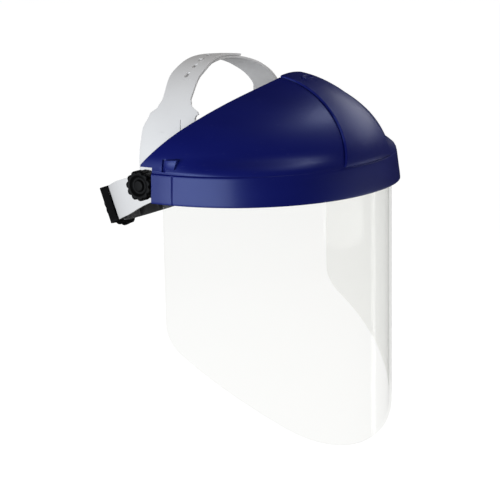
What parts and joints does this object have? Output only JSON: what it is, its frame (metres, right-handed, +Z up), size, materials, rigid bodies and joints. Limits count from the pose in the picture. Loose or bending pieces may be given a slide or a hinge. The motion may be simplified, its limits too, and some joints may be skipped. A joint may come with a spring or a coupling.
{
  "type": "face shield",
  "caption": "Face shield with a tinted crown visor and clear wrap-round window, tilting on a ratchet-adjusted headband with crown straps.",
  "frame": {"origin": "midpoint between the two side pivots, on the visor's tilt axis, at the centre of the wearer's head space", "axes": "+Z up with the window hanging down, the wearer looks along -Y, +X towards the wearer's left"},
  "size_m": [0.2546, 0.2694, 0.3115],
  "materials": {
    "crown_plastic": "moulded navy blue plastic with a soft gloss",
    "clear_window": "clear moulded polycarbonate",
    "grey_plastic": "light grey flexible strap plastic",
    "black_plastic": "black moulded plastic",
    "foam": "black covered foam",
    "steel": "plated steel"
  },
  "bodies": {
    "headband": {"brow_band": "grey_plastic", "brow_pad": "foam", "crown_strap_right": "grey_plastic", "crown_strap_left": "grey_plastic", "rear_strap_right": "grey_plastic", "rear_strap_left": "grey_plastic", "strap_rivet_front_right": "steel", "strap_rivet_front_left": "steel", "strap_rivet_rear_right": "steel", "strap_rivet_rear_left": "steel", "pivot_post_right": "black_plastic", "pivot_post_left": "black_plastic", "pivot_bolt_right": "steel", "pivot_bolt_left": "steel", "friction_washer_right": "black_plastic", "friction_washer_left": "black_plastic"},
    "visor": {"crown_shell": "crown_plastic", "window": "clear_window", "pivot_bracket_right": "black_plastic", "pivot_bracket_left": "black_plastic", "bracket_screw_rear_right": "steel", "bracket_screw_rear_left": "steel", "bracket_screw_front_right": "steel", "bracket_screw_front_left": "steel"},
    "knob_right": {"tension_knob_right": "black_plastic"},
    "knob_left": {"tension_knob_left": "black_plastic"},
    "nape_unit": {"nape_housing": "black_plastic", "nape_cover": "black_plastic", "nape_pad": "foam", "nape_screw_right": "steel", "nape_screw_left": "steel", "detent_ring": "steel"},
    "ratchet": {"ratchet_knob": "black_plastic", "ratchet_pinion": "black_plastic"},
    "rack_r": {"rack_right": "grey_plastic"},
    "rack_l": {"rack_left": "grey_plastic"}
  },
  "joints": [
    {"name": "visor_tilt", "type": "hinge", "parent": "headband", "child": "visor", "pos_m": [0, 0, 0], "axis": [-1, 0, 0], "range_deg": [0, 85]},
    {"name": "tension_knob_right_turn", "type": "hinge", "parent": "headband", "child": "knob_right", "pos_m": [-0.12, 0, 0], "axis": [-1, 0, 0], "range_deg": [-180, 180]},
    {"name": "tension_knob_left_turn", "type": "hinge", "parent": "headband", "child": "knob_left", "pos_m": [0.12, 0, 0], "axis": [1, 0, 0], "range_deg": [-180, 180]},
    {"name": "size_adjust", "type": "slide", "parent": "headband", "child": "nape_unit", "axis": [0, 0.9336, -0.3584], "range_m": [-0.012, 0.012], "deforming": ["rear_strap_right", "rear_strap_left"]},
    {"name": "ratchet_knob_turn", "type": "hinge", "parent": "nape_unit", "child": "ratchet", "pos_m": [0, 0.11631, -0.04465], "axis": [0, 0.9336, -0.3584], "range_deg": [-99, 99]},
    {"name": "rack_right_slide", "type": "hinge", "parent": "nape_unit", "child": "rack_r", "pos_m": [0, 0.05228, -0.02007], "axis": [0, 0.3584, 0.9336], "range_deg": [-11.5, 11.5]},
    {"name": "rack_left_slide", "type": "hinge", "parent": "nape_unit", "child": "rack_l", "pos_m": [0, 0.05228, -0.02007], "axis": [0, 0.3584, 0.9336], "range_deg": [-11.5, 11.5]}
  ],
  "couplings": [
    {"joint": "ratchet_knob_turn", "follows": "size_adjust", "rad_per_m": -142.86},
    {"joint": "rack_right_slide", "follows": "size_adjust", "rad_per_m": 16.313},
    {"joint": "rack_left_slide", "follows": "size_adjust", "rad_per_m": -16.313}
  ]
}
